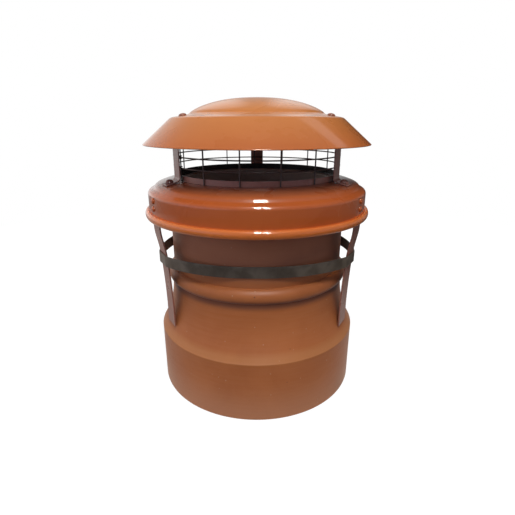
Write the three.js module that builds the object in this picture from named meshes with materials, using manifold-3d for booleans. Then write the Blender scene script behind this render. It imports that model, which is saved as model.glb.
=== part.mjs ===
// Chimney cowl strapped onto a short clay pot: a spun collar, a wire bird guard under a spun cap,
// and three legs that a steel band draws onto the neck of the pot.
// Millimetres, Z up. The origin is the middle of the pot's underside and the front faces -Y.
import * as THREE from 'three';
import { mergeVertices } from 'three/addons/utils/BufferGeometryUtils.js';
import Module from 'manifold-3d';

const wasm = await Module();
wasm.setup();

// Driving dimensions shared by several pieces
const turnedSides = 36; // facets round a turned piece, one of them square to each station
const sheet = 1.2; // thickness of the spun sheet
const gap = 0.3; // clearance between pieces that touch
const stations = { left: -60, right: 60, back: 180 }; // posts and legs, degrees round from the front

// Clay pot
const potHeight = 297.5;
const potBaseRadius = 145.6;
const potBaseTop = 84;
const potEdge = 3; // height of the eased edge above the base
const potEdgeInset = 1;
const waistRadius = 125.6;
const waistHeight = 158;
const flarePower = 2.2; // how hollow the flare between base and waist is
const flareShares = [0, 0.12, 0.28, 0.5, 0.75]; // heights of its rings, as shares of the flare
const astragal = { radius: 121.6, height: 167.5, proud: 9.4, half: 10.5, start: -65, steps: 5 };
const neckRadius = 122.6;
const rim = { radius: 108, height: 279.5, proud: 26, steps: 4 };
const boreRadius = 103;
const footBoreRadius = 121;
const footBoreHeight = 95;
const boreTaperHeight = 160;
const potEase = 2; // small bevel on the pot's free edges

// Collar
const openingRadius = 109;
const shoulderStart = 111.5;
const shoulderEnd = 142;
const collarTop = 299;
const shoulderDrop = 8.4;
const shoulderPower = 1.6;
const shoulderShares = [0, 0.36, 0.7, 1]; // places of its rings, as shares of the shoulder
const skirtRadius = 150.8;
const skirtTop = 283;
const skirtEase = { inset: 0.8, rise: 1.7 };
const curl = { across: 2.2, up: 3.8, height: 253.9, sweep: 285, steps: 6 }; // inner face of the roll

// Ring round the opening and the bird guard
const neckRing = { inner: 109.8, outer: 111.2, top: 306 };
const wire = 1.7;
const uprightCount = 15;
const uprightOffset = -10; // degrees from the front to the first upright
const uprightRadius = 112.35;
const uprightTop = 372;
const hoopSides = 30;
const hoopCount = 5;
const hoopFirst = 316;
const hoopPitch = 13;
const weld = 0.2; // how far hoops and uprights sink into each other

// Cap
const capHeight = 401.3;
const domeRadius = 91;
const domeFoot = 380.6;
const domeFullness = 0.78; // below 1 the dome is fuller towards its edge
const domeShares = [0, 0.35, 0.62, 0.84, 1]; // places of its rings, as shares of the dome
const ringRadius = 115;
const ringHeight = 376;
const brimRadius = 152.5;
const brimHeight = 343.2;
const capCorner = 2.4; // how far back the corner between ring and cone is eased

// Posts between collar and cap
const post = { width: 20, thickness: 1.6, inner: 115.5, footEnd: 134.8, flangeEnd: 96 };
const postBend = { radius: 8, steps: 4 };
const footHole = 127;
const flangeHole = 105;

// Legs and strap
const leg = { width: 26, thickness: 2 };
const legTop = 281.5;
const legKnee = 238;
const legRadius = 148.7;
const legFace = [[142.6, 208], [140.7, 178], [139.4, 155], [138.8, 131], [138.7, 103]];
const strap = { height: 14.8, bottom: 192, thickness: 1, neckGap: 0.5, legRadius: 143, steps: 8 };
const strapBow = 1.7; // how the stiff band bows between neck and legs, 1 being the straightest

// Fasteners
const capRivet = { head: 5, rise: 2.7, shank: 2.2, tail: 3.4 };
const footBolt = { head: 5.5, rise: 4, shank: 2.4, tail: 4 };
const legRivet = { head: 3.8, rise: 2.4, shank: 1.7, tail: 2.6 };
const legRivetHeights = { upper: 276.5, lower: 266.8 };
const fastenerSides = 6;
const headBreak = { out: 0.68, up: 0.74 }; // where the head's two rings of facets meet
const tailRise = 0.35; // rise of the closed end, as a share of the head's
const holeLength = 24; // long enough for every stack of sheets

// Finishes
const terracottaPaint = new THREE.MeshStandardMaterial({ color: 0xb5602d, roughness: 0.28, metalness: 0 });
const brownPaint = new THREE.MeshStandardMaterial({ color: 0x4b2f27, roughness: 0.35, metalness: 0 });
const brownWire = new THREE.MeshStandardMaterial({ color: 0x33261f, roughness: 0.5, metalness: 0.2 });
const bandSteel = new THREE.MeshStandardMaterial({ color: 0x4a4239, roughness: 0.45, metalness: 0.8 });
const firedClay = new THREE.MeshStandardMaterial({ color: 0xa5643c, roughness: 0.85, metalness: 0 });

const point = (x, y) => new THREE.Vector2(x, y);
const radians = (degrees) => THREE.MathUtils.degToRad(degrees);

// Points along an elliptical arc, both ends included.
function arc(centreX, centreY, radiusX, radiusY, from, to, steps) {
  const points = [];
  for (let step = 0; step <= steps; step += 1) {
    const angle = radians(from + ((to - from) * step) / steps);
    points.push(point(centreX + radiusX * Math.cos(angle), centreY + radiusY * Math.sin(angle)));
  }
  return points;
}

// The same path moved sideways, to the right of its direction, with mitred corners.
function offsetPath(path, distance) {
  return path.map((here, index) => {
    const before = path[Math.max(index - 1, 0)];
    const after = path[Math.min(index + 1, path.length - 1)];
    const arriving = index > 0 ? here.clone().sub(before) : after.clone().sub(here);
    const leaving = index < path.length - 1 ? after.clone().sub(here) : arriving.clone();
    arriving.normalize();
    leaving.normalize();
    const bisector = arriving.clone().add(leaving).normalize();
    const reach = distance / bisector.dot(leaving);
    const moved = point(here.x + bisector.y * reach, here.y - bisector.x * reach);
    return here.x === 0 ? point(0, here.y - distance) : moved;
  });
}

// Closed section of a bent sheet whose seen face follows the path.
function sheetSection(path, thickness) {
  return [...path, ...offsetPath(path, thickness).reverse()];
}

// Bare positions with shared corners, no empty triangles, and every face pointing out.
function tidy(geometry) {
  const bare = geometry.clone();
  bare.deleteAttribute('normal');
  bare.deleteAttribute('uv');
  const merged = mergeVertices(bare, 1e-4);
  const position = merged.getAttribute('position');
  const corners = merged.getIndex().array;
  const kept = [];
  let volume = 0;
  const a = new THREE.Vector3();
  const b = new THREE.Vector3();
  const c = new THREE.Vector3();
  for (let face = 0; face < corners.length; face += 3) {
    const [i, j, k] = corners.slice(face, face + 3);
    if (i === j || j === k || k === i) continue;
    kept.push([i, j, k]);
    a.fromBufferAttribute(position, i);
    b.fromBufferAttribute(position, j);
    c.fromBufferAttribute(position, k);
    volume += a.dot(b.cross(c));
  }
  merged.setIndex(kept.flatMap(([i, j, k]) => (volume > 0 ? [i, j, k] : [i, k, j])));
  return merged;
}

function toManifold(geometry) {
  const clean = tidy(geometry);
  return new wasm.Manifold(new wasm.Mesh({
    numProp: 3,
    vertProperties: new Float32Array(clean.getAttribute('position').array),
    triVerts: new Uint32Array(clean.getIndex().array),
  }));
}

function fromManifold(solid) {
  const mesh = solid.getMesh();
  const geometry = new THREE.BufferGeometry();
  geometry.setAttribute('position', new THREE.BufferAttribute(mesh.vertProperties, 3));
  geometry.setIndex(new THREE.BufferAttribute(mesh.triVerts, 1));
  return geometry;
}

function cutAll(body, cutters) {
  return fromManifold(cutters.reduce((left, cutter) => left.subtract(toManifold(cutter)), toManifold(body)));
}

function joinAll(pieces) {
  const [first, ...others] = pieces.map(toManifold);
  return fromManifold(others.reduce((whole, piece) => whole.add(piece), first));
}

// A turned piece: the section is closed here unless it starts and ends on the axis.
function turned(section, sides = turnedSides, offset = 180 / turnedSides) {
  const onAxis = section[0].x === 0;
  const outline = onAxis ? section : [...section, section[0]];
  const geometry = new THREE.LatheGeometry(outline, sides, radians(offset));
  return tidy(geometry.rotateX(Math.PI / 2));
}

// A bent strip in a station's frame: x runs outward from the axis, y across the strip, z up.
function strip(path, thickness, width) {
  const shape = new THREE.Shape(sheetSection(path, thickness));
  const geometry = new THREE.ExtrudeGeometry(shape, { depth: width, bevelEnabled: false });
  geometry.translate(0, 0, -width / 2);
  return tidy(geometry.rotateX(Math.PI / 2));
}

// Turns a station's frame to its place round the axis.
const stationTurn = (angle) => radians(angle - 90);

// The place of a fastener in its station's frame, with its head leaning outward by the tilt.
function fastenerPlace(radius, height, tilt) {
  return { position: new THREE.Vector3(radius, 0, height), tilt };
}

function fastenerHole(place, shank, station) {
  const bore = new THREE.CylinderGeometry(shank + gap, shank + gap, holeLength, fastenerSides);
  bore.rotateX(Math.PI / 2);
  bore.rotateY(place.tilt);
  bore.translate(place.position.x, place.position.y, place.position.z);
  if (station !== undefined) bore.rotateZ(stationTurn(station));
  return bore;
}

// Domed head above the seat, shank through the grip, and the closed end behind it.
function fastener(size, grip) {
  const section = [
    point(0, gap + size.rise),
    point(size.head * headBreak.out, gap + size.rise * headBreak.up),
    point(size.head, gap),
    point(size.shank, gap),
    point(size.shank, -grip - gap),
    point(size.tail, -grip - gap),
    point(0, -grip - gap - size.rise * tailRise),
  ];
  return turned(section, fastenerSides, 0);
}

// Clay pot: base, flare, astragal, neck and rolled rim, with a bore right through it.
function potSection() {
  const edgeTop = potBaseTop + potEdge;
  const edgeRadius = potBaseRadius - potEdgeInset;
  const flare = flareShares.map((share) => {
    const reach = (edgeRadius - waistRadius) * (1 - share) ** flarePower;
    return point(waistRadius + reach, edgeTop + (waistHeight - edgeTop) * share);
  });
  const neckMeets = THREE.MathUtils.radToDeg(Math.acos((neckRadius - astragal.radius) / astragal.proud));
  const { radius, height, proud, half, start, steps } = astragal;
  const moulding = arc(radius, height, proud, half, start, neckMeets, steps);
  const rimMeets = THREE.MathUtils.radToDeg(Math.acos((neckRadius - rim.radius) / rim.proud));
  const roll = arc(rim.radius, rim.height, rim.proud, potHeight - rim.height, -rimMeets, 90, rim.steps);
  return [
    point(footBoreRadius, 0),
    point(potBaseRadius - potEase / 2, 0),
    point(potBaseRadius, potEase),
    point(potBaseRadius, potBaseTop),
    ...flare,
    ...moulding,
    ...roll,
    point(boreRadius + potEase, potHeight),
    point(boreRadius, potHeight - potEase),
    point(boreRadius, boreTaperHeight),
    point(footBoreRadius, footBoreHeight),
  ];
}

// Seen face of the collar, from the opening over the shoulder and skirt into the curled edge.
function shoulderHeight(radius) {
  const share = Math.max(radius - shoulderStart, 0) / (shoulderEnd - shoulderStart);
  return collarTop - shoulderDrop * share ** shoulderPower;
}

function shoulderTilt(radius) {
  const step = 0.01;
  return Math.atan((shoulderHeight(radius) - shoulderHeight(radius + step)) / step);
}

function collarPath() {
  const shoulder = shoulderShares.map((share) => {
    const radius = shoulderStart + (shoulderEnd - shoulderStart) * share;
    return point(radius, shoulderHeight(radius));
  });
  const curlMiddle = skirtRadius + curl.across;
  const rolled = arc(curlMiddle, curl.height, curl.across, curl.up, 180, 180 + curl.sweep, curl.steps);
  return [
    point(openingRadius, collarTop),
    ...shoulder,
    point(skirtRadius - skirtEase.inset, skirtTop + skirtEase.rise),
    point(skirtRadius, skirtTop),
    ...rolled,
  ];
}

// Seen face of the cap, from the top of the dome over the flat ring to the brim.
const ringFall = (domeFoot - ringHeight) / (ringRadius - domeRadius);
const ringTilt = Math.atan(ringFall);
const capRingHeight = (radius) => ringHeight + (ringRadius - radius) * ringFall;

function capPath() {
  const coneFall = (ringHeight - brimHeight) / (brimRadius - ringRadius);
  const dome = domeShares.map((share) => (
    point(domeRadius * share, domeFoot + (capHeight - domeFoot) * (1 - share ** 2) ** domeFullness)
  ));
  return [
    ...dome,
    point(ringRadius - capCorner, capRingHeight(ringRadius - capCorner)),
    point(ringRadius + capCorner, ringHeight - capCorner * coneFall),
    point(brimRadius, brimHeight),
  ];
}

// Outer face of a post: flange under the cap's ring, bend, upright, and foot on the shoulder.
function postPath() {
  const outer = post.inner + post.thickness;
  const tiltDegrees = THREE.MathUtils.radToDeg(ringTilt);
  const clearance = sheet + gap;
  const bendX = outer - postBend.radius;
  const bendY = capRingHeight(bendX) - (clearance + postBend.radius) / Math.cos(ringTilt);
  const bendStart = 90 - tiltDegrees;
  const flangeY = capRingHeight(post.flangeEnd) - clearance / Math.cos(ringTilt);
  const footTilt = shoulderTilt(footHole);
  const footTop = shoulderHeight(footHole) + (gap + post.thickness) / Math.cos(footTilt);
  const footHeight = (radius) => footTop - (radius - footHole) * Math.tan(footTilt);
  return [
    point(post.flangeEnd, flangeY),
    ...arc(bendX, bendY, postBend.radius, postBend.radius, bendStart, 0, postBend.steps),
    point(outer, footHeight(outer)),
    point(post.footEnd, footHeight(post.footEnd)),
  ];
}

// Outer face of a leg, from behind the skirt down to the flare of the pot.
function legPath() {
  return [
    point(legRadius, legTop),
    point(legRadius, legKnee),
    ...legFace.map(([radius, height]) => point(radius, height)),
  ];
}

// Plan of the strap's face: flat across each leg, then bowed in to touch the neck midway.
function strapPlan(thickness) {
  const neck = neckRadius + strap.neckGap + thickness;
  const flat = strap.legRadius + thickness;
  const half = leg.width / 2 + gap + thickness;
  const corner = Math.hypot(flat, half);
  const cornerAngle = Math.atan2(half, flat);
  const halfTurn = Math.PI / Object.keys(stations).length;
  return Object.values(stations).sort((a, b) => a - b).flatMap((station) => {
    const points = [];
    for (let step = 0; step <= strap.steps; step += 1) {
      const share = (2 * step) / strap.steps - 1;
      const radius = neck + (corner - neck) * Math.abs(share) ** strapBow;
      const angle = radians(station - 90) + halfTurn + share * (halfTurn - cornerAngle);
      points.push(point(radius * Math.cos(angle), radius * Math.sin(angle)));
    }
    return points;
  });
}

function strapGeometry() {
  const shape = new THREE.Shape(strapPlan(strap.thickness));
  shape.holes.push(new THREE.Path(strapPlan(0)));
  const geometry = new THREE.ExtrudeGeometry(shape, { depth: strap.height, bevelEnabled: false });
  return tidy(geometry.translate(0, 0, strap.bottom));
}

// Welded wire: uprights on the inside, hoops on the outside, sunk into each other where they cross.
function guardGeometry() {
  const half = wire / 2;
  const flatShare = Math.cos(Math.PI / hoopSides);
  const inner = (uprightRadius + half - weld) / flatShare;
  const outer = (uprightRadius + half - weld + wire) / flatShare;
  const hoopOffset = uprightOffset + 180 / hoopSides;
  const bottom = collarTop + gap;
  const pieces = [];
  for (let hoop = 0; hoop < hoopCount; hoop += 1) {
    const height = hoopFirst + hoop * hoopPitch;
    const section = [
      point(inner, height - half),
      point(outer, height - half),
      point(outer, height + half),
      point(inner, height + half),
    ];
    pieces.push(turned(section, hoopSides, hoopOffset));
  }
  for (let count = 0; count < uprightCount; count += 1) {
    const upright = new THREE.BoxGeometry(wire, wire, uprightTop - bottom);
    upright.translate(uprightRadius, 0, (uprightTop + bottom) / 2);
    upright.rotateZ(stationTurn(uprightOffset + (360 * count) / uprightCount));
    pieces.push(upright);
  }
  return joinAll(pieces);
}

function mesh(name, geometry, material) {
  const piece = new THREE.Mesh(geometry, material);
  piece.name = name;
  return piece;
}

function placed(name, geometry, material, place) {
  const piece = mesh(name, geometry, material);
  piece.position.copy(place.position);
  piece.rotation.y = place.tilt;
  return piece;
}

// Places of the fasteners, the same at every station
const capRivetPlace = fastenerPlace(flangeHole, capRingHeight(flangeHole), ringTilt);
const footTilt = shoulderTilt(footHole);
const footStack = post.thickness + gap;
const footBoltPlace = fastenerPlace(
  footHole + footStack * Math.sin(footTilt),
  shoulderHeight(footHole) + footStack * Math.cos(footTilt),
  footTilt,
);
const skirtFlat = skirtRadius * Math.cos(Math.PI / turnedSides); // middle of a facet
const legRivetPlaces = Object.entries(legRivetHeights).map(([level, height]) => (
  { level, place: fastenerPlace(skirtFlat, height, Math.PI / 2) }
));
const skirtStack = skirtFlat - legRadius + leg.thickness;

// Holes through the pieces that the fasteners hold together
const angles = Object.values(stations);
const collarHoles = angles.flatMap((angle) => [
  fastenerHole(footBoltPlace, footBolt.shank, angle),
  ...legRivetPlaces.map(({ place }) => fastenerHole(place, legRivet.shank, angle)),
]);
const capHoles = angles.map((angle) => fastenerHole(capRivetPlace, capRivet.shank, angle));
const postHoles = [
  fastenerHole(capRivetPlace, capRivet.shank),
  fastenerHole(footBoltPlace, footBolt.shank),
];
const legHoles = legRivetPlaces.map(({ place }) => fastenerHole(place, legRivet.shank));

// Geometry that the stations share
const postGeometry = cutAll(strip(postPath(), post.thickness, post.width), postHoles);
const legGeometry = cutAll(strip(legPath(), leg.thickness, leg.width), legHoles);
const capRivetGeometry = fastener(capRivet, sheet + gap + post.thickness);
const footBoltGeometry = fastener(footBolt, footStack + sheet);
const legRivetGeometry = fastener(legRivet, skirtStack);

const neckRingSection = [
  point(neckRing.inner, collarTop + gap),
  point(neckRing.outer, collarTop + gap),
  point(neckRing.outer, neckRing.top),
  point(neckRing.inner, neckRing.top),
];

const cowl = new THREE.Group();
cowl.add(
  mesh('clay_pot', turned(potSection()), firedClay),
  mesh('collar', cutAll(turned(sheetSection(collarPath(), sheet)), collarHoles), terracottaPaint),
  mesh('neck_ring', turned(neckRingSection), brownPaint),
  mesh('bird_guard', guardGeometry(), brownWire),
  mesh('cap', cutAll(turned(sheetSection(capPath(), sheet)), capHoles), terracottaPaint),
  mesh('strap', strapGeometry(), bandSteel),
);
for (const [side, angle] of Object.entries(stations)) {
  const station = new THREE.Group();
  station.rotation.z = stationTurn(angle);
  station.add(
    mesh(`cap_post_${side}`, postGeometry, brownPaint),
    mesh(`leg_${side}`, legGeometry, brownPaint),
    placed(`cap_rivet_${side}`, capRivetGeometry, brownPaint, capRivetPlace),
    placed(`post_bolt_${side}`, footBoltGeometry, brownPaint, footBoltPlace),
  );
  for (const { level, place } of legRivetPlaces) {
    station.add(placed(`leg_rivet_${level}_${side}`, legRivetGeometry, terracottaPaint, place));
  }
  cowl.add(station);
}

export default cowl;
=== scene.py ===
import math

import bmesh
import bpy
from mathutils import Matrix, Vector, noise


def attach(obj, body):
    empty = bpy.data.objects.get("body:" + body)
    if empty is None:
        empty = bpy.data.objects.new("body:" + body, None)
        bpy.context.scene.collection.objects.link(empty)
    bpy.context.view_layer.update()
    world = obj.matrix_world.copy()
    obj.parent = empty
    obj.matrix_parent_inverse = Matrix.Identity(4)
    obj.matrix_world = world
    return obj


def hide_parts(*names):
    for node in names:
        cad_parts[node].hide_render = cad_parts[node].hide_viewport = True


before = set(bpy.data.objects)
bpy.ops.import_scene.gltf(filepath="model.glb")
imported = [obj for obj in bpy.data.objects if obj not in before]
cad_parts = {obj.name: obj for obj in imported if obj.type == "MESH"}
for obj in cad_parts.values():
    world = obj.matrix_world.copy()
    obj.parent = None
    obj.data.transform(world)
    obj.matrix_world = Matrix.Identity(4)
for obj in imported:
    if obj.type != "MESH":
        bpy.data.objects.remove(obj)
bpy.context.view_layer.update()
print("frame loaded with", len(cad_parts), "nodes")

mm = 0.001
fullTurn = 2 * math.pi
frontAngle = -90  # the front faces -Y
near = 0.05  # how close a vertex has to be to count as on a line, in millimetres
scene = bpy.context.scene
stations = {"Left": -60, "Right": 60, "Back": 180}  # posts and legs, in degrees round from the front
mixColours, mixResult = (6, 7), 2  # colour sockets of a Mix node, which share their names with others


# shader helpers

def addNode(tree, kind, values=None, **settings):
    made = tree.nodes.new(kind)
    for name, value in settings.items():
        setattr(made, name, value)
    for name, value in (values or {}).items():
        made.inputs[name].default_value = value
    return made


def newGroup(name, inputs, outputs):
    tree = bpy.data.node_groups.new(name, "ShaderNodeTree")
    for label, value in inputs.items():
        socket = tree.interface.new_socket(label, in_out="INPUT", socket_type="NodeSocketFloat")
        socket.default_value = value
    for label in outputs:
        tree.interface.new_socket(label, in_out="OUTPUT", socket_type="NodeSocketFloat")
    return tree, tree.nodes.new("NodeGroupInput"), tree.nodes.new("NodeGroupOutput")


def remap(tree, source, low, high, toLow=0.0, toHigh=1.0):
    values = {"From Min": low, "From Max": high, "To Min": toLow, "To Max": toHigh}
    made = addNode(tree, "ShaderNodeMapRange", interpolation_type="SMOOTHSTEP")
    for label, value in values.items():
        made.inputs[label].default_value = value
    tree.links.new(source, made.inputs["Value"])
    return made.outputs["Result"]


def combine(tree, operation, first, second):
    made = addNode(tree, "ShaderNodeMath", operation=operation)
    for socket, value in zip(made.inputs, (first, second)):
        if isinstance(value, (int, float)):
            socket.default_value = value
        else:
            tree.links.new(value, socket)
    return made.outputs["Value"]


def product(tree, first, *others):
    for other in others:
        first = combine(tree, "MULTIPLY", first, other)
    return first


def blendColour(tree, share, first, second):
    made = addNode(tree, "ShaderNodeMix", data_type="RGBA", blend_type="MIX")
    tree.links.new(share, made.inputs["Factor"])
    for index, value in zip(mixColours, (first, second)):
        if isinstance(value, tuple):
            made.inputs[index].default_value = (*value, 1)
        else:
            tree.links.new(value, made.inputs[index])
    return made.outputs[mixResult]


def chooseShader(tree, share, first, second):
    made = addNode(tree, "ShaderNodeMixShader")
    tree.links.new(share, made.inputs["Fac"])
    tree.links.new(first, made.inputs[1])
    tree.links.new(second, made.inputs[2])
    return made.outputs["Shader"]


# paint: a slight orange peel, soft clouding and dust
skinLook = {
    "scales": {"Peel": 520, "Cloud": 16, "Dust": 900},
    "noise": {
        "Peel": {"Detail": 1.5, "Roughness": 0.4},
        "Cloud": {"Detail": 4, "Roughness": 0.55, "Distortion": 0.4},
        "Dust": {"Detail": 2, "Roughness": 0.7},
    },
    "spans": {"Cloud": (0.3, 0.7), "Dust": (0.68, 0.78)},
    "peelDepth": 0.12,
}


def makePaintSkin(look):
    tree, start, end = newGroup("paintSkin", look["scales"], ("Cloud", "Dust", "Height"))
    place = addNode(tree, "ShaderNodeTexCoord").outputs["Object"]
    found = {}
    for label, settings in look["noise"].items():
        texture = addNode(tree, "ShaderNodeTexNoise", settings)
        tree.links.new(place, texture.inputs["Vector"])
        tree.links.new(start.outputs[label], texture.inputs["Scale"])
        found[label] = texture.outputs["Fac"]
    for label, span in look["spans"].items():
        tree.links.new(remap(tree, found[label], *span), end.inputs[label])
    tree.links.new(found["Peel"], end.inputs["Height"])
    return tree


# clay: patches, grain, turning marks, pits and pale specks
bodyLook = {
    "scales": {"Patch": 9, "Grain": 420, "Pit": 46}, "specksPerPit": 2.3,
    "patch": {"Detail": 5, "Roughness": 0.6, "Distortion": 0.6}, "patchSpan": (0.3, 0.72),
    "grain": {"Detail": 4, "Roughness": 0.7},
    "streak": {"Scale": 30, "Detail": 3, "Roughness": 0.6}, "streakSpan": (0.35, 0.7),
    "streakStretch": (0.5, 0.5, 9.0),  # turning marks run round the pot
    "pit": (0.06, 0.72), "speck": (0.12, 0.7), "core": 0.45,  # reach, and the share of cells with none
    "grainHeight": 0.5, "streakHeight": 0.35, "pitDepth": 0.9,
}


def makeClayBody(look):
    tree, start, end = newGroup(
        "clayBody", look["scales"], ("Patch", "Grain", "Streak", "Pit", "Speck", "Height"))
    place = addNode(tree, "ShaderNodeTexCoord").outputs["Object"]
    stretch = addNode(tree, "ShaderNodeMapping", {"Scale": look["streakStretch"]})
    streak = addNode(tree, "ShaderNodeTexNoise", look["streak"])
    tree.links.new(place, stretch.inputs["Vector"])
    tree.links.new(stretch.outputs["Vector"], streak.inputs["Vector"])
    patch = addNode(tree, "ShaderNodeTexNoise", look["patch"])
    grain = addNode(tree, "ShaderNodeTexNoise", look["grain"])
    pits = addNode(tree, "ShaderNodeTexVoronoi")
    specks = addNode(tree, "ShaderNodeTexVoronoi")
    speckScale = combine(tree, "MULTIPLY", start.outputs["Pit"], look["specksPerPit"])
    scales = (start.outputs["Patch"], start.outputs["Grain"], start.outputs["Pit"], speckScale)
    for texture, scale in zip((patch, grain, pits, specks), scales):
        tree.links.new(place, texture.inputs["Vector"])
        tree.links.new(scale, texture.inputs["Scale"])
    holes = {}
    for label, texture, (reach, spared) in (("Pit", pits, look["pit"]), ("Speck", specks, look["speck"])):
        hole = remap(tree, texture.outputs["Distance"], reach * look["core"], reach, 1, 0)
        channels = addNode(tree, "ShaderNodeSeparateColor")
        tree.links.new(texture.outputs["Color"], channels.inputs["Color"])
        chosen = combine(tree, "GREATER_THAN", channels.outputs["Red"], spared)
        holes[label] = combine(tree, "MULTIPLY", hole, chosen)
        tree.links.new(holes[label], end.inputs[label])
    tree.links.new(remap(tree, patch.outputs["Fac"], *look["patchSpan"]), end.inputs["Patch"])
    tree.links.new(grain.outputs["Fac"], end.inputs["Grain"])
    tree.links.new(remap(tree, streak.outputs["Fac"], *look["streakSpan"]), end.inputs["Streak"])
    raised = combine(tree, "ADD", combine(tree, "MULTIPLY", grain.outputs["Fac"], look["grainHeight"]),
                     combine(tree, "MULTIPLY", streak.outputs["Fac"], look["streakHeight"]))
    sunk = combine(tree, "MULTIPLY", holes["Pit"], look["pitDepth"])
    tree.links.new(combine(tree, "SUBTRACT", raised, sunk), end.inputs["Height"])
    return tree


paintSkin = makePaintSkin(skinLook)
clayBody = makeClayBody(bodyLook)


def newMaterial(name, group, values, fixed):
    material = bpy.data.materials.new(name)
    material.use_nodes = True
    tree = material.node_tree
    shader = tree.nodes["Principled BSDF"]
    for label, value in fixed.items():
        shader.inputs[label].default_value = value
    effect = addNode(tree, "ShaderNodeGroup", node_tree=group)
    for label, value in values.items():
        effect.inputs[label].default_value = value
    return material, tree, shader, effect


def addBump(tree, shader, height, strength, distance):
    bump = addNode(tree, "ShaderNodeBump", {"Strength": strength, "Distance": distance * mm})
    tree.links.new(height, bump.inputs["Height"])
    tree.links.new(bump.outputs["Normal"], shader.inputs["Normal"])


# lays colour over the base by height and by distance from the axis: real stains and painted light and shade
# alike
def addStainsAndPaintedLight(tree, colour, stainsAndPaintedLight):
    place = addNode(tree, "ShaderNodeTexCoord").outputs["Object"]
    axes = addNode(tree, "ShaderNodeSeparateXYZ")
    tree.links.new(place, axes.inputs["Vector"])
    across = addNode(tree, "ShaderNodeVectorMath", {1: (1, 1, 0)}, operation="MULTIPLY")
    tree.links.new(place, across.inputs[0])
    reach = addNode(tree, "ShaderNodeVectorMath", operation="LENGTH")
    tree.links.new(across.outputs["Vector"], reach.inputs[0])
    limits = {
        "above": (axes.outputs["Z"], 0, 1),
        "below": (axes.outputs["Z"], 1, 0),
        "within": (reach.outputs["Value"], 1, 0),
    }
    for tonePatch in stainsAndPaintedLight:  # each fades out over its heights or its distance from the axis, in metres
        share = tonePatch["share"]
        for limit, (source, toLow, toHigh) in limits.items():
            if limit in tonePatch:
                share = combine(tree, "MULTIPLY", remap(tree, source, *tonePatch[limit], toLow, toHigh), share)
        colour = blendColour(tree, share, colour, tonePatch["tone"])
    return colour


def paintMaterial(name, look):
    material, tree, shader, skin = newMaterial(name, paintSkin, look["skin"], look["fixed"])
    toned = blendColour(tree, skin.outputs["Cloud"], look["deep"], look["pale"])
    specks = combine(tree, "MULTIPLY", skin.outputs["Dust"], look["dustShare"])
    dusted = blendColour(tree, specks, toned, look["dust"])
    tree.links.new(addStainsAndPaintedLight(tree, dusted, look["stainsAndPaintedLight"]), shader.inputs["Base Color"])
    roughness = remap(tree, skin.outputs["Cloud"], 0, 1, *look["roughness"])
    tree.links.new(roughness, shader.inputs["Roughness"])
    addBump(tree, shader, skin.outputs["Height"], look["peel"], skinLook["peelDepth"])
    return material


# painted shade: the dark laid on faces inside the opening
paintedInnerShade = (0.03, 0.026, 0.02)
terracottaLook = {
    "skin": {"Peel": 430, "Cloud": 15, "Dust": 800},
    "deep": (0.44, 0.092, 0.020), "pale": (0.48, 0.110, 0.026),
    "dust": (0.77, 0.37, 0.108), "dustShare": 0.04,
    "stainsAndPaintedLight": [
        # painted light: the cap is paler where it faces up, and the rolled edge is paler as a painted
        # highlight
        {"tone": (0.77, 0.37, 0.108), "share": 0.45, "above": (0.31, 0.4)},
        {"tone": (0.72, 0.19, 0.038), "share": 0.72, "below": (0.2585, 0.2605)},
        # painted shade: darker and greyer on the shoulder under the cap near the guard, and dark inside the
        # opening
        {"tone": (0.16, 0.1, 0.075), "share": 0.4,
         "within": (0.125, 0.15), "above": (0.285, 0.29), "below": (0.305, 0.32)},
        {"tone": paintedInnerShade, "share": 1, "within": (0.111, 0.1118), "below": (0.305, 0.32)},
    ],
    "roughness": (0.26, 0.3), "peel": 0.05,
    "fixed": {"Specular IOR Level": 0.08, "Coat Weight": 0.6, "Coat Roughness": 0.03, "Coat IOR": 1.5},
}
brownLook = {
    "skin": {"Peel": 520, "Cloud": 40, "Dust": 900},
    "deep": (0.28, 0.11, 0.074), "pale": (0.33, 0.14, 0.095),
    "dust": (0.2, 0.15, 0.12), "dustShare": 0.3,
    # painted shade: the ring's inner face is darkened inside the opening
    "stainsAndPaintedLight": [{"tone": paintedInnerShade, "share": 1, "within": (0.1102, 0.1108), "below": (0.3055, 0.308)}],
    "roughness": (0.26, 0.4), "peel": 0.12,
    "fixed": {"Specular IOR Level": 0.15, "Coat Weight": 0.25, "Coat Roughness": 0.12, "Coat IOR": 1.5},
}
wireLook = {
    "skin": {"Peel": 900, "Cloud": 90, "Dust": 1200},
    "deep": (0.045, 0.024, 0.016), "pale": (0.085, 0.048, 0.034),
    "dust": (0.14, 0.1, 0.08), "dustShare": 0.3, "stainsAndPaintedLight": [],
    "roughness": (0.35, 0.5), "peel": 0.15,
    "fixed": {"Specular IOR Level": 0.25, "Coat Weight": 0.1, "Coat Roughness": 0.25},
}
bandLook = {
    "skin": {"Peel": 260, "Cloud": 55, "Dust": 700},
    "deep": (0.095, 0.073, 0.05), "pale": (0.15, 0.116, 0.08),
    "dust": (0.28, 0.26, 0.22), "dustShare": 0.3, "stainsAndPaintedLight": [],
    "roughness": (0.32, 0.5), "peel": 0.3,
    "fixed": {"Metallic": 0.3},
}

terracottaPaint = paintMaterial("terracottaPaint", terracottaLook)
brownPaint = paintMaterial("brownPaint", brownLook)
guardWire = paintMaterial("guardWire", wireLook)
bandSteel = paintMaterial("bandSteel", bandLook)

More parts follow.
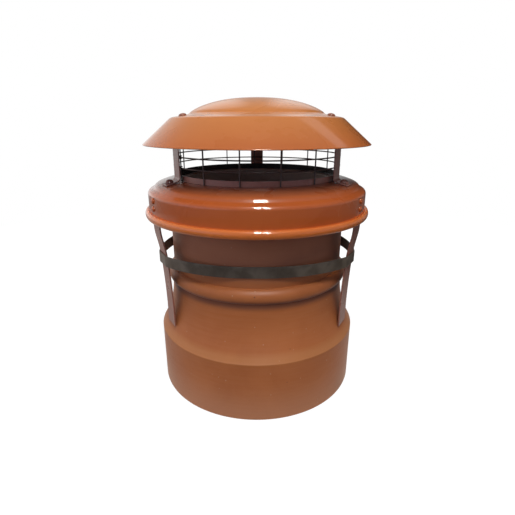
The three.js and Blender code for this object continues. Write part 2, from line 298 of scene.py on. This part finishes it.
clayLook = {
    "body": {"Patch": 9, "Grain": 420, "Pit": 46},
    "deep": (0.385, 0.115, 0.033), "pale": (0.45, 0.142, 0.044),
    "streak": (0.50, 0.20, 0.085), "streakShare": 0.12,
    "pit": (0.2, 0.075, 0.036), "speck": (0.52, 0.3, 0.18), "speckShare": 0.55,
    "stainsAndPaintedLight": [
        # painted shade under the astragal, paler and greyer towards the ground, and the flare's foot paler,
        # partly rubbed wear and partly a painted sheen
        {"tone": (0.13, 0.05, 0.035), "share": 0.7, "above": (0.146, 0.1555), "below": (0.158, 0.165)},
        {"tone": (0.55, 0.33, 0.21), "share": 0.3, "below": (0.0, 0.062)},
        {"tone": (0.6, 0.29, 0.11), "share": 0.3, "above": (0.082, 0.085), "below": (0.088, 0.1)},
        # painted shade on the neck under the collar, and a painted grey tone in the bore for the dim light
        # inside
        {"tone": (0.3, 0.15, 0.11), "share": 0.4, "above": (0.178, 0.2)},
        {"tone": (0.34, 0.26, 0.2), "share": 1, "within": (0.107, 0.113)},
    ],
    "roughness": (0.38, 0.5), "grainSpan": (0.3, 0.7), "relief": 0.15, "reliefDepth": 1.2,
    "fixed": {"Specular IOR Level": 0.15, "Sheen Weight": 0.12, "Sheen Roughness": 0.4,
              "Sheen Tint": (1, 0.95, 0.9, 1)},
}


def clayMaterial(name, look):
    material, tree, shader, body = newMaterial(name, clayBody, look["body"], look["fixed"])
    colour = blendColour(tree, body.outputs["Patch"], look["deep"], look["pale"])
    marks = combine(tree, "MULTIPLY", body.outputs["Streak"], look["streakShare"])
    colour = blendColour(tree, marks, colour, look["streak"])
    flecks = combine(tree, "MULTIPLY", body.outputs["Speck"], look["speckShare"])
    colour = blendColour(tree, flecks, colour, look["speck"])
    colour = blendColour(tree, body.outputs["Pit"], colour, look["pit"])
    tree.links.new(addStainsAndPaintedLight(tree, colour, look["stainsAndPaintedLight"]), shader.inputs["Base Color"])
    roughness = remap(tree, body.outputs["Grain"], *look["grainSpan"], *look["roughness"])
    tree.links.new(roughness, shader.inputs["Roughness"])
    addBump(tree, shader, body.outputs["Height"], look["relief"], look["reliefDepth"])
    return material


firedClay = clayMaterial("firedClay", clayLook)
print("finishes ready")


# mesh helpers, all lengths in millimetres

def arcPoints(x, z, radiusX, radiusZ, start, end, steps):
    turns = [math.radians(start + (end - start) * step / steps) for step in range(steps + 1)]
    return [(x + radiusX * math.cos(turn), z + radiusZ * math.sin(turn)) for turn in turns]


def addPath(bm, points, closed=False):
    verts = [bm.verts.new((x * mm, 0, z * mm)) for x, z in points]
    loop = verts + verts[:1] if closed else verts
    return verts, [bm.edges.new(pair) for pair in zip(loop, loop[1:])]


def spinRound(bm, verts, edges, steps, centre=0):
    bmesh.ops.spin(bm, geom=verts + edges, cent=(centre * mm, 0, 0), axis=(0, 0, 1),
                   angle=fullTurn, steps=steps, use_merge=True)


def spinPath(bm, points, steps, closed=False, inside=0):
    verts, edges = addPath(bm, points, closed)
    spinRound(bm, verts, edges, steps)
    bmesh.ops.remove_doubles(bm, verts=bm.verts[:], dist=near / 10 * mm)
    faceOut(bm, inside)


def faceOut(bm, inside):
    bmesh.ops.recalc_face_normals(bm, faces=bm.faces[:])
    middle = Vector((0, 0, inside * mm))
    outward = sum(face.normal.dot(face.calc_center_median() - middle) * face.calc_area() for face in bm.faces)
    if outward < 0:  # an open sheet may come out facing its axis
        bmesh.ops.reverse_faces(bm, faces=bm.faces[:])


def bevelEdges(bm, edges, offset, segments):
    bmesh.ops.bevel(bm, geom=edges, offset=offset * mm, offset_type="OFFSET", segments=segments,
                    profile=0.5, affect="EDGES", material=-1, clamp_overlap=True)


def softenLine(bm, onLine, offset, segments):
    line = [edge for edge in bm.edges if all(onLine(vert.co / mm) for vert in edge.verts)]
    bevelEdges(bm, line, offset, segments)


def softenRing(bm, radius, height, offset, segments):
    def onRing(spot):
        return abs(math.hypot(spot.x, spot.y) - radius) < near and abs(spot.z - height) < near
    softenLine(bm, onRing, offset, segments)


def softenEdges(bm, offset, segments, sharper):
    sharp = [edge for edge in bm.edges if len(edge.link_faces) == 2
             and edge.calc_face_angle() > math.radians(sharper)]
    bevelEdges(bm, sharp, offset, segments)


def thicken(bm, thickness):
    bmesh.ops.solidify(bm, geom=bm.faces[:], thickness=thickness * mm)


def turnTo(bm, angle, verts=None):
    turn = Matrix.Rotation(math.radians(angle + frontAngle), 3, "Z")
    bmesh.ops.rotate(bm, verts=verts or bm.verts[:], cent=(0, 0, 0), matrix=turn)


def finishPiece(name, bm, material, nodes, smoothTo=40):
    mesh = bpy.data.meshes.new(name)
    bm.to_mesh(mesh)
    bm.free()
    mesh.shade_smooth()
    mesh.set_sharp_from_angle(angle=math.radians(smoothTo))
    mesh.materials.append(material)
    piece = bpy.data.objects.new(name, mesh)
    scene.collection.objects.link(piece)
    evened = piece.modifiers.new("evened", "WEIGHTED_NORMAL")  # broad faces keep their own shading
    evened.keep_sharp = True
    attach(piece, "root")
    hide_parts(*nodes)


# clay pot; each soft value is a bevel's width and its segments
pot = {
    "height": 297.5, "base": 145.6, "baseTop": 84.4, "edge": 1, "edgeInset": 0.7,
    "waist": 125.6, "waistHeight": 158, "hollow": 2.2, "flareSteps": 10,
    "bead": (121.6, 167.5, 9.4, 10.5), "beadStart": -65, "neck": 122.6, "rim": (108, 279.5, 26),
    "arcSteps": 14, "bore": 103, "footBore": 121, "footBoreTop": 95, "taperTop": 160,
    "baseRings": (0, 26, 52), "neckRings": (184, 195, 206, 222, 239, 255), "boreRing": 230, "footRing": 45,
    "softFoot": (1.6, 3), "softEdge": (0.5, 3), "softStep": (0.5, 2), "softFootBore": (2, 2),
    "softRim": (2.5, 3), "steps": 180, "waver": 0.22, "waverSize": 38, "waverHeights": (3, 270),
}


def potProfile(p):
    edgeTop = p["baseTop"] + p["edge"]
    edgeRadius = p["base"] - p["edgeInset"]
    outline = [(p["footBore"], 0)]
    outline += [(p["base"], height) for height in (*p["baseRings"], p["baseTop"])]
    for step in range(p["flareSteps"]):
        share = step / p["flareSteps"]
        height = edgeTop + (p["waistHeight"] - edgeTop) * share
        outline.append((p["waist"] + (edgeRadius - p["waist"]) * (1 - share) ** p["hollow"], height))
    beadRadius, beadHeight, proud, half = p["bead"]
    neckMeets = math.degrees(math.acos((p["neck"] - beadRadius) / proud))
    outline += arcPoints(beadRadius, beadHeight, proud, half, p["beadStart"], neckMeets, p["arcSteps"])
    outline += [(p["neck"], height) for height in p["neckRings"]]
    rimRadius, rimHeight, rimProud = p["rim"]
    rimMeets = math.degrees(math.acos((p["neck"] - rimRadius) / rimProud))
    rimRise = p["height"] - rimHeight
    outline += arcPoints(rimRadius, rimHeight, rimProud, rimRise, -rimMeets, 90, p["arcSteps"])
    outline += [(p["bore"], height) for height in (p["height"], p["boreRing"], p["taperTop"])]
    outline += [(p["footBore"], height) for height in (p["footBoreTop"], p["footRing"])]
    return outline


bm = bmesh.new()
spinPath(bm, potProfile(pot), pot["steps"], closed=True)
softenRing(bm, pot["base"], 0, *pot["softFoot"])
softenRing(bm, pot["base"], pot["baseTop"], *pot["softEdge"])
softenRing(bm, pot["base"] - pot["edgeInset"], pot["baseTop"] + pot["edge"], *pot["softStep"])
softenRing(bm, pot["footBore"], 0, *pot["softFootBore"])
softenRing(bm, pot["bore"], pot["height"], *pot["softRim"])
waverLow, waverTop = pot["waverHeights"]
for vert in bm.verts:  # a hand-finished wall is never quite round
    if waverLow * mm < vert.co.z < waverTop * mm:
        away = Vector((vert.co.x, vert.co.y, 0)).normalized()
        vert.co += away * (noise.noise(vert.co / (pot["waverSize"] * mm)) * pot["waver"] * mm)
finishPiece("clayPot", bm, firedClay, ["clay_pot"])
print("clay pot done")

# collar; softLip also gives the angle past which an edge is softened
collarSizes = {
    "opening": 109, "shoulderStart": 111.5, "shoulderEnd": 139.8, "top": 299, "drop": 7.0, "power": 1.6,
    "shoulderTenths": (0, 1, 2, 3, 4, 5, 6, 7, 8, 10), "coveStart": (142.75, 288.19), "cove": (143.4, 287.35),
    "skirt": 150.8, "shoulderBend": (5.6, 280.2, 55), "bendSteps": 8, "skirtRings": (275, 271, 267, 263, 259),
    "curl": (2.2, 3.8, 253.9, 316), "curlSteps": 20, "sheet": 1.2, "softShoulder": (2.6, 6),
    "softLip": (0.35, 2, 60), "steps": 216, "inside": 265,
    "flatHalf": 14, "flatLow": 259.5, "flatHigh": 281.5,
}


def shoulderHeight(c, radius):
    share = max(radius - c["shoulderStart"], 0) / (c["shoulderEnd"] - c["shoulderStart"])
    return c["top"] - c["drop"] * share ** c["power"]


def collarProfile(c):
    span = c["shoulderEnd"] - c["shoulderStart"]
    radii = [c["shoulderStart"] + span * tenths / 10 for tenths in c["shoulderTenths"]]
    bend, bendHeight, bendStart = c["shoulderBend"]
    curlAcross, curlUp, curlHeight, sweep = c["curl"]
    outline = [(c["opening"], c["top"])] + [(radius, shoulderHeight(c, radius)) for radius in radii]
    outline += [c["coveStart"], c["cove"]]
    outline += arcPoints(c["skirt"] - bend, bendHeight, bend, bend, bendStart, 0, c["bendSteps"])
    outline += [(c["skirt"], height) for height in c["skirtRings"]]
    curlMiddle = c["skirt"] + curlAcross
    outline += arcPoints(curlMiddle, curlHeight, curlAcross, curlUp, 180, 180 + sweep, c["curlSteps"])
    return outline


bm = bmesh.new()
spinPath(bm, collarProfile(collarSizes), collarSizes["steps"], inside=collarSizes["inside"])
shoulderEnd = collarSizes["shoulderEnd"]
softenRing(bm, shoulderEnd, shoulderHeight(collarSizes, shoulderEnd), *collarSizes["softShoulder"])
thicken(bm, collarSizes["sheet"])
softenEdges(bm, *collarSizes["softLip"])
flat = math.sqrt(collarSizes["skirt"] ** 2 - collarSizes["flatHalf"] ** 2)
for angle in stations.values():  # the skirt is pressed flat where a leg is riveted on
    outward = Vector((math.sin(math.radians(angle)), -math.cos(math.radians(angle)), 0))
    for vert in bm.verts:
        if not collarSizes["flatLow"] < vert.co.z / mm < collarSizes["flatHigh"]:
            continue
        outer = math.hypot(vert.co.x, vert.co.y) / mm > collarSizes["skirt"] - collarSizes["sheet"] / 2
        excess = vert.co.dot(outward) - (flat if outer else flat - collarSizes["sheet"]) * mm
        if excess > 0:
            vert.co -= outward * excess
finishPiece("spunCollar", bm, terracottaPaint, ["collar"])
print("collar done")

# ring round the opening
ringSizes = {"inner": 109.8, "outer": 111.2, "low": 298.9, "top": 306, "soft": (0.5, 3, 50), "steps": 180}
ringOutline = [(ringSizes["inner"], ringSizes["low"]), (ringSizes["outer"], ringSizes["low"]),
               (ringSizes["outer"], ringSizes["top"]), (ringSizes["inner"], ringSizes["top"])]
bm = bmesh.new()
spinPath(bm, ringOutline, ringSizes["steps"], closed=True)
softenEdges(bm, *ringSizes["soft"])
finishPiece("neckRing", bm, brownPaint, ["neck_ring"])
print("opening ring done")

# wire bird guard
guard = {
    "wire": 0.85, "wireSides": 8, "uprights": 15, "firstUpright": -10, "uprightRadius": 112.35,
    "low": 299.4, "top": 372,
    "hoops": 5, "firstHoop": 316, "pitch": 13, "hoopRadius": 113.85, "hoopSteps": 120,
    "seamUpright": -58, "hookWire": 0.7, "hookRadius": 1.35, "hookRise": 1.5, "hookSteps": 14,
}


def addWireRing(bm, g, wire, centre, radius, height, steps):
    made = bmesh.ops.create_circle(bm, segments=g["wireSides"], radius=wire * mm)["verts"]
    bmesh.ops.rotate(bm, verts=made, cent=(0, 0, 0), matrix=Matrix.Rotation(math.pi / 2, 3, "X"))
    bmesh.ops.translate(bm, verts=made, vec=((centre + radius) * mm, 0, height * mm))
    edges = list(dict.fromkeys(edge for vert in made for edge in vert.link_edges))
    spinRound(bm, made, edges, steps, centre)


def addUpright(bm, g, angle):
    made = bmesh.ops.create_cone(bm, cap_ends=True, segments=g["wireSides"], radius1=g["wire"] * mm,
                                 radius2=g["wire"] * mm, depth=(g["top"] - g["low"]) * mm)["verts"]
    bmesh.ops.translate(bm, verts=made, vec=(g["uprightRadius"] * mm, 0, (g["top"] + g["low"]) / 2 * mm))
    turnTo(bm, angle, made)


bm = bmesh.new()
hoopHeights = [guard["firstHoop"] + count * guard["pitch"] for count in range(guard["hoops"])]
for height in hoopHeights:  # hoop ends are hooked round the end upright
    for rise in (-guard["hookRise"], guard["hookRise"]):
        addWireRing(bm, guard, guard["hookWire"], guard["uprightRadius"], guard["hookRadius"],
                    height + rise, guard["hookSteps"])
turnTo(bm, guard["seamUpright"])
for height in hoopHeights:
    addWireRing(bm, guard, guard["wire"], 0, guard["hoopRadius"], height, guard["hoopSteps"])
for count in range(guard["uprights"]):
    addUpright(bm, guard, guard["firstUpright"] + 360 * count / guard["uprights"])
bmesh.ops.recalc_face_normals(bm, faces=bm.faces[:])
finishPiece("birdGuard", bm, guardWire, ["bird_guard"])
print("guard done")

# cap
capSizes = {
    "height": 401.3, "dome": 91, "domeFoot": 380.6, "crown": 2.35, "fullness": 0.78,
    "domeRings": (0, 0.08, 0.16, 0.24, 0.32, 0.4, 0.48, 0.56, 0.63,
                  0.7, 0.76, 0.82, 0.87, 0.91, 0.945, 0.97, 1),
    "ring": 115, "ringHeight": 376, "brim": 152.5, "brimHeight": 343.2,
    "brimRings": (0, 0.25, 0.5, 0.75, 0.97, 1), "sheet": 1.2, "steps": 216, "inside": 330,
    "softFoot": (1.6, 3), "softRing": (2.2, 5), "softLip": (0.4, 2, 60),
}


def capProfile(c):
    rise = c["height"] - c["domeFoot"]
    across, fall = c["brim"] - c["ring"], c["brimHeight"] - c["ringHeight"]
    outline = [(c["dome"] * share, c["domeFoot"] + rise * (1 - share ** c["crown"]) ** c["fullness"])
               for share in c["domeRings"]]
    outline += [(c["ring"] + across * share, c["ringHeight"] + fall * share) for share in c["brimRings"]]
    return outline


bm = bmesh.new()
spinPath(bm, capProfile(capSizes), capSizes["steps"], inside=capSizes["inside"])
softenRing(bm, capSizes["dome"], capSizes["domeFoot"], *capSizes["softFoot"])
softenRing(bm, capSizes["ring"], capSizes["ringHeight"], *capSizes["softRing"])
thicken(bm, capSizes["sheet"])
softenEdges(bm, *capSizes["softLip"])
finishPiece("spunCap", bm, terracottaPaint, ["cap"])
print("cap done")

# strap
strapSizes = {
    "height": 14.8, "low": 192, "thickness": 1, "neck": 123.1, "leg": 143, "legHalf": 13.3, "bow": 1.7,
    "steps": 36, "longRun": 9, "runSteps": 5, "widthSteps": 6, "buckle": 0.55, "buckleSize": 24,
    "soft": (0.25, 2, 60), "smoothTo": 30,
}


def strapPlan(s):
    midway = 180 / len(stations)  # from a leg to the middle of the next span
    corner = math.hypot(s["leg"], s["legHalf"])
    reach = math.radians(midway) - math.atan2(s["legHalf"], s["leg"])
    plan = []
    for station in sorted(stations.values()):
        for step in range(s["steps"] + 1):  # bowed in from leg to leg, touching the neck midway
            share = 2 * step / s["steps"] - 1
            radius = s["neck"] + (corner - s["neck"]) * abs(share) ** s["bow"]
            turn = math.radians(station + frontAngle + midway) + share * reach
            plan.append((radius * math.cos(turn), radius * math.sin(turn)))
    return plan


def isVert(item):
    return isinstance(item, bmesh.types.BMVert)


bm = bmesh.new()
verts = [bm.verts.new((x * mm, y * mm, strapSizes["low"] * mm)) for x, y in strapPlan(strapSizes)]
edges = [bm.edges.new(pair) for pair in zip(verts, verts[1:] + verts[:1])]
longRuns = [edge for edge in edges if edge.calc_length() > strapSizes["longRun"] * mm]
bmesh.ops.subdivide_edges(bm, edges=longRuns, cuts=strapSizes["runSteps"])
grown = bmesh.ops.extrude_edge_only(bm, edges=bm.edges[:])["geom"]
bmesh.ops.translate(bm, verts=list(filter(isVert, grown)), vec=(0, 0, strapSizes["height"] * mm))
upright = [edge for edge in bm.edges if abs(edge.verts[0].co.z - edge.verts[1].co.z) > near * mm]
bmesh.ops.subdivide_edges(bm, edges=upright, cuts=strapSizes["widthSteps"], use_grid_fill=True)
faceOut(bm, strapSizes["low"])
for vert in bm.verts:  # a thin band pulled tight still buckles a little
    away = Vector((vert.co.x, vert.co.y, 0)).normalized()
    swell = max(0.5 + 0.5 * noise.noise(vert.co / (strapSizes["buckleSize"] * mm)), 0)
    vert.co += away * (swell * strapSizes["buckle"] * mm + strapSizes["thickness"] * mm)
thicken(bm, strapSizes["thickness"])
softenEdges(bm, *strapSizes["soft"])
finishPiece("neckStrap", bm, bandSteel, ["strap"], strapSizes["smoothTo"])
print("strap done")

# posts and legs, bent from flat strip
stripShape = {"bendSteps": 6, "soft": (0.35, 2, 60)}
postSizes = {
    "width": 20, "thickness": 1.6, "outer": 117.1, "flangeEnd": 96, "footEnd": 134.8,
    "footHole": 127, "topBend": 8, "footBend": 3.4,
}
legSizes = {
    "width": 26, "thickness": 2,
    "face": [(148.7, 281.5), (148.7, 238), (142.6, 208), (140.7, 178), (139.4, 155),
             (138.8, 131), (138.7, 103)],
    "bends": {(148.7, 238): 7, (142.6, 208): 9, (140.7, 178): 9, (139.4, 155): 8},
}
ringFall = (capSizes["domeFoot"] - capSizes["ringHeight"]) / (capSizes["ring"] - capSizes["dome"])
ringTilt = math.atan(ringFall)
gap = 0.3  # between pieces that lie on each other


def ringSurface(radius):
    return capSizes["ringHeight"] + (capSizes["ring"] - radius) * ringFall


def footSlope(radius):
    return shoulderHeight(collarSizes, radius) - shoulderHeight(collarSizes, radius + 1)


def postFace(p):
    under = (capSizes["sheet"] + gap) / math.cos(ringTilt)
    slope = footSlope(p["footHole"])
    footTop = shoulderHeight(collarSizes, p["footHole"]) + (gap + p["thickness"]) * math.hypot(1, slope)
    return [
        (p["flangeEnd"], ringSurface(p["flangeEnd"]) - under),
        (p["outer"], ringSurface(p["outer"]) - under),
        (p["outer"], footTop - (p["outer"] - p["footHole"]) * slope),
        (p["footEnd"], footTop - (p["footEnd"] - p["footHole"]) * slope),
    ]


def softenBend(bm, x, z, radius, segments):
    def onBend(spot):
        return abs(spot.x - x) < near and abs(spot.z - z) < near
    softenLine(bm, onBend, radius, segments)


def bentStrip(points, bends, width, thickness, angle):
    bm = bmesh.new()
    verts, edges = addPath(bm, points)
    bmesh.ops.translate(bm, verts=verts, vec=(0, -width / 2 * mm, 0))
    grown = bmesh.ops.extrude_edge_only(bm, edges=edges)["geom"]
    bmesh.ops.translate(bm, verts=list(filter(isVert, grown)), vec=(0, width * mm, 0))
    for (x, z), radius in bends.items():
        softenBend(bm, x, z, radius, stripShape["bendSteps"])
    bmesh.ops.recalc_face_normals(bm, faces=bm.faces[:])
    broadest = max(bm.faces, key=lambda face: face.calc_area())
    if broadest.normal.x < 0:  # the strip's outer face has to be the one drawn
        bmesh.ops.reverse_faces(bm, faces=bm.faces[:])
    thicken(bm, thickness)
    softenEdges(bm, *stripShape["soft"])
    turnTo(bm, angle)
    return bm


for side, angle in stations.items():
    node = side.lower()
    face = postFace(postSizes)
    bends = {face[1]: postSizes["topBend"], face[2]: postSizes["footBend"]}
    bm = bentStrip(face, bends, postSizes["width"], postSizes["thickness"], angle)
    finishPiece("capPost" + side, bm, brownPaint, ["cap_post_" + node])
    bm = bentStrip(legSizes["face"], legSizes["bends"], legSizes["width"], legSizes["thickness"], angle)
    finishPiece("leg" + side, bm, brownPaint, ["leg_" + node])
print("posts and legs done")

# fasteners
fastenerShape = {
    "steps": 28, "headSteps": 9, "lift": 0.05, "dimpleDepth": 1.1, "dimpleFloor": 0.7, "tailRise": 0.35,
    "soft": (0.25, 2, 70),
}
capRivetSizes = {"head": 5, "rise": 2.7, "shank": 2.2, "tail": 3.4, "grip": 3.1, "radius": 105, "dimple": 0}
footBoltSizes = {"head": 5.5, "rise": 4, "shank": 2.4, "tail": 4, "grip": 3.1, "radius": 127, "dimple": 1.5}
legRivetSizes = {"head": 3.8, "rise": 2.4, "shank": 1.7, "tail": 2.6, "grip": 3.5, "dimple": 0,
                 "seat": 150.15, "heights": {"Upper": 276.5, "Lower": 266.8}}


def makeFastener(f, place, tilt, angle):
    shape = fastenerShape
    head = arcPoints(0, shape["lift"], f["head"], f["rise"], 90, 0, shape["headSteps"])
    if f["dimple"]:  # hollow left by the pulled stem of a blind rivet
        sunk = f["rise"] - shape["dimpleDepth"]
        rest = [point for point in head if point[0] > f["dimple"]]
        head = [(0, sunk), (f["dimple"] * shape["dimpleFloor"], sunk)] + rest
    tail = -f["grip"] - gap
    outline = head + [(f["shank"], shape["lift"]), (f["shank"], tail), (f["tail"], tail),
                      (0, tail - f["rise"] * shape["tailRise"])]
    bm = bmesh.new()
    spinPath(bm, outline, shape["steps"])
    softenEdges(bm, *shape["soft"])
    bmesh.ops.rotate(bm, verts=bm.verts[:], cent=(0, 0, 0), matrix=Matrix.Rotation(tilt, 3, "Y"))
    bmesh.ops.translate(bm, verts=bm.verts[:], vec=(place[0] * mm, 0, place[1] * mm))
    turnTo(bm, angle)
    return bm


for side, angle in stations.items():
    node = side.lower()
    radius = capRivetSizes["radius"]
    bm = makeFastener(capRivetSizes, (radius, ringSurface(radius)), ringTilt, angle)
    finishPiece("capRivet" + side, bm, brownPaint, ["cap_rivet_" + node])
    radius = footBoltSizes["radius"]
    slope = math.atan(footSlope(radius))
    lift = postSizes["thickness"] + gap
    seat = (radius + lift * math.sin(slope), shoulderHeight(collarSizes, radius) + lift * math.cos(slope))
    bm = makeFastener(footBoltSizes, seat, slope, angle)
    finishPiece("postBolt" + side, bm, brownPaint, ["post_bolt_" + node])
    for level, height in legRivetSizes["heights"].items():
        bm = makeFastener(legRivetSizes, (legRivetSizes["seat"], height), math.pi / 2, angle)
        finishPiece("legRivet" + level + side, bm, terracottaPaint,
                    ["leg_rivet_" + level.lower() + "_" + node])
print("fasteners done")

# floor, in metres: white to the camera, with its own strengths for light sent up and for reflections
floorSizes = {
    "radius": 1.3, "sides": 96, "glow": (0.92, 1.0), "glowReach": (0.2, 0.5), "colour": (0.14, 0.14, 0.139),
    "bounce": (0.6, 0.03), "bounceReach": (0.24, 0.44),
    "shine": (0.56, 0.08), "shineAcross": (0.27, 0.45), "shineTint": (1.0, 0.88, 0.82),
    "shineDeep": (-0.35, -0.05), "shineFade": (0.1, 1),
}
bm = bmesh.new()
bmesh.ops.create_circle(bm, cap_ends=True, segments=floorSizes["sides"], radius=floorSizes["radius"])
floorMesh = bpy.data.meshes.new("floor")
bm.to_mesh(floorMesh)
bm.free()
floorPaint = bpy.data.materials.new("floorPaint")
floorPaint.use_nodes = True
tree = floorPaint.node_tree
tree.nodes.clear()
place = addNode(tree, "ShaderNodeTexCoord").outputs["Object"]
axes = addNode(tree, "ShaderNodeSeparateXYZ")
tree.links.new(place, axes.inputs["Vector"])
length = addNode(tree, "ShaderNodeVectorMath", operation="LENGTH")
tree.links.new(place, length.inputs[0])
away = length.outputs["Value"]
glow = addNode(tree, "ShaderNodeEmission")
glowing = remap(tree, away, *floorSizes["glowReach"], *floorSizes["glow"])
tree.links.new(glowing, glow.inputs["Strength"])
pale = addNode(tree, "ShaderNodeBsdfDiffuse", {"Color": (*floorSizes["colour"], 1)})
seen = addNode(tree, "ShaderNodeAddShader")
tree.links.new(glow.outputs["Emission"], seen.inputs[0])
tree.links.new(pale.outputs["BSDF"], seen.inputs[1])
dull = addNode(tree, "ShaderNodeBsdfDiffuse")  # sends light up only close to the pot
bouncing = remap(tree, away, *floorSizes["bounceReach"], *floorSizes["bounce"])
tree.links.new(bouncing, dull.inputs["Color"])
shine = addNode(tree, "ShaderNodeEmission", {"Color": (*floorSizes["shineTint"], 1)})
shining = product(tree, remap(tree, axes.outputs["X"], *floorSizes["shineAcross"], *floorSizes["shine"]),
                  remap(tree, axes.outputs["Y"], *floorSizes["shineDeep"], *floorSizes["shineFade"]))
tree.links.new(shining, shine.inputs["Strength"])
paths = addNode(tree, "ShaderNodeLightPath").outputs
mirrored = chooseShader(tree, paths["Is Glossy Ray"], dull.outputs["BSDF"], shine.outputs["Emission"])
surface = chooseShader(tree, paths["Is Camera Ray"], mirrored, seen.outputs["Shader"])
tree.links.new(surface, addNode(tree, "ShaderNodeOutputMaterial").inputs["Surface"])
floorMesh.materials.append(floorPaint)
floor = bpy.data.objects.new("floor", floorMesh)
scene.collection.objects.link(floor)

# two window panes high in front; they are brighter and taller in reflections than the light they shed
windows = {
    "across": {"Left": 0.015, "Right": 0.234}, "aim": (0, -0.15, 0.28),
    "light": {"size": (0.175, 0.75), "place": (-1.004, 1.921), "power": 12.2, "colour": (1, 0.95, 0.82)},
    "glint": {"size": (0.175, 1.6), "place": (-1.185, 1.814), "power": 36, "colour": (1, 1, 1)},
}
for side, across in windows["across"].items():
    for part in ("light", "glint"):
        look = windows[part]
        lamp = bpy.data.lights.new(part + side, "AREA")
        lamp.shape = "RECTANGLE"
        lamp.size, lamp.size_y = look["size"]
        lamp.energy = look["power"]
        lamp.color = look["colour"]
        lampObject = bpy.data.objects.new(part + side, lamp)
        lampObject.location = (across, *look["place"])
        toward = Vector(windows["aim"]) - lampObject.location
        lampObject.rotation_euler = toward.to_track_quat("-Z", "Y").to_euler()
        lampObject.visible_diffuse = part == "light"
        scene.collection.objects.link(lampObject)

# room round the part, plain white to the camera; spans are parts of a direction's X, Y and Z
room = {
    "front": 0.24, "back": 0.38, "depth": (-0.6, 0.6),
    "frontTint": (0.92, 1.02, 1.4), "backTint": (1.0, 1.0, 1.0), "tintDepth": (-0.5, 0.3),
    "left": 0.85, "leftAcross": (-0.8, -0.15), "leftUp": (0.2, 0.75),
    "right": 0.3, "rightAcross": (0.5, 0.75), "rightUp": (0.05, 0.4),
    "low": 0.5, "lowDepth": (0.5, 0.9), "lowUp": (0.08, 0.3),
    "shade": 0.97, "shadeAcross": (0.12, 0.36), "shadeDepth": (0.0, 0.5),
    "panes": 0.74, "paneInner": (0.02, 0.14), "paneOuter": (0.28, 0.42),
    "paneFoot": (0.2, 0.36), "paneHead": (0.7, 0.84), "paneDepth": (0.3, 0.6),
    "strip": 1.0, "stripStart": (0.78, 0.84), "stripEnd": (0.89, 0.93),  # radians round from the back
    "stripFoot": (0.5, 0.65), "stripHead": (0.82, 0.9),
    "zenith": 0.34, "zenithUp": (0.5, 0.95), "below": 0.12, "belowUp": (-0.25, 0.0), "seen": 1.0,
}
world = bpy.data.worlds.new("room")
scene.world = world
world.use_nodes = True
tree = world.node_tree
tree.nodes.clear()
direction = addNode(tree, "ShaderNodeSeparateXYZ")
tree.links.new(addNode(tree, "ShaderNodeTexCoord").outputs["Generated"], direction.inputs["Vector"])
x, y, z = (direction.outputs[axis] for axis in "XYZ")


def fadeIn(source, span, level=1.0):
    return remap(tree, source, *room[span], 0, level)


def fadeOut(source, span, level=1.0):
    return remap(tree, source, *room[span], level, 0)


def add(first, second):
    return combine(tree, "ADD", first, second)


def without(share):
    return combine(tree, "SUBTRACT", 1.0, share)


walls = remap(tree, y, *room["depth"], room["front"], room["back"])
leftGlow = product(tree, fadeOut(x, "leftAcross", room["left"]), fadeOut(z, "leftUp"))
rightGlow = product(tree, fadeIn(x, "rightAcross", room["right"]), fadeOut(z, "rightUp"))
horizon = product(tree, fadeIn(y, "lowDepth", room["low"]), fadeOut(z, "lowUp"))
shade = product(tree, fadeIn(x, "shadeAcross", room["shade"]), fadeIn(y, "shadeDepth"))
aside = combine(tree, "ABSOLUTE", x, 0)
panes = product(tree, fadeIn(aside, "paneInner", room["panes"]), fadeOut(aside, "paneOuter"),
                fadeIn(z, "paneFoot"), fadeOut(z, "paneHead"), fadeIn(y, "paneDepth"))
bearing = combine(tree, "ARCTAN2", x, y)
strip = product(tree, fadeIn(bearing, "stripStart", room["strip"]), fadeOut(bearing, "stripEnd"),
                fadeIn(z, "stripFoot"), fadeOut(z, "stripHead"))
upper, lower = fadeIn(z, "zenithUp"), fadeIn(z, "belowUp")
level = product(tree, add(add(walls, leftGlow), horizon), without(shade))
level = product(tree, add(level, rightGlow), without(upper))
level = add(add(add(level, product(tree, upper, room["zenith"])), panes), strip)
level = add(product(tree, level, lower), product(tree, without(lower), room["below"]))
around = addNode(tree, "ShaderNodeBackground")
tree.links.new(level, around.inputs["Strength"])
tint = blendColour(tree, fadeIn(y, "tintDepth"), room["frontTint"], room["backTint"])
tree.links.new(tint, around.inputs["Color"])
plain = addNode(tree, "ShaderNodeBackground", {"Color": (1, 1, 1, 1), "Strength": room["seen"]})
cameraRay = addNode(tree, "ShaderNodeLightPath").outputs["Is Camera Ray"]
surface = chooseShader(tree, cameraRay, around.outputs["Background"], plain.outputs["Background"])
tree.links.new(surface, addNode(tree, "ShaderNodeOutputWorld").inputs["Surface"])

# camera
cameraSizes = {
    "at": (0, -0.552, 0.3669), "down": 19.06, "lens": 26.81, "sensor": 36, "shift": 0.0012, "nearest": 0.01,
}
cameraData = bpy.data.cameras.new("camera")
cameraData.sensor_width = cameraSizes["sensor"]
cameraData.lens = cameraSizes["lens"]
cameraData.shift_x = cameraSizes["shift"]
cameraData.clip_start = cameraSizes["nearest"]
camera = bpy.data.objects.new("camera", cameraData)
camera.location = cameraSizes["at"]
camera.rotation_euler = (math.radians(90 - cameraSizes["down"]), 0, 0)
scene.collection.objects.link(camera)
scene.camera = camera
scene.view_settings.view_transform = "Standard"
print("stage done")
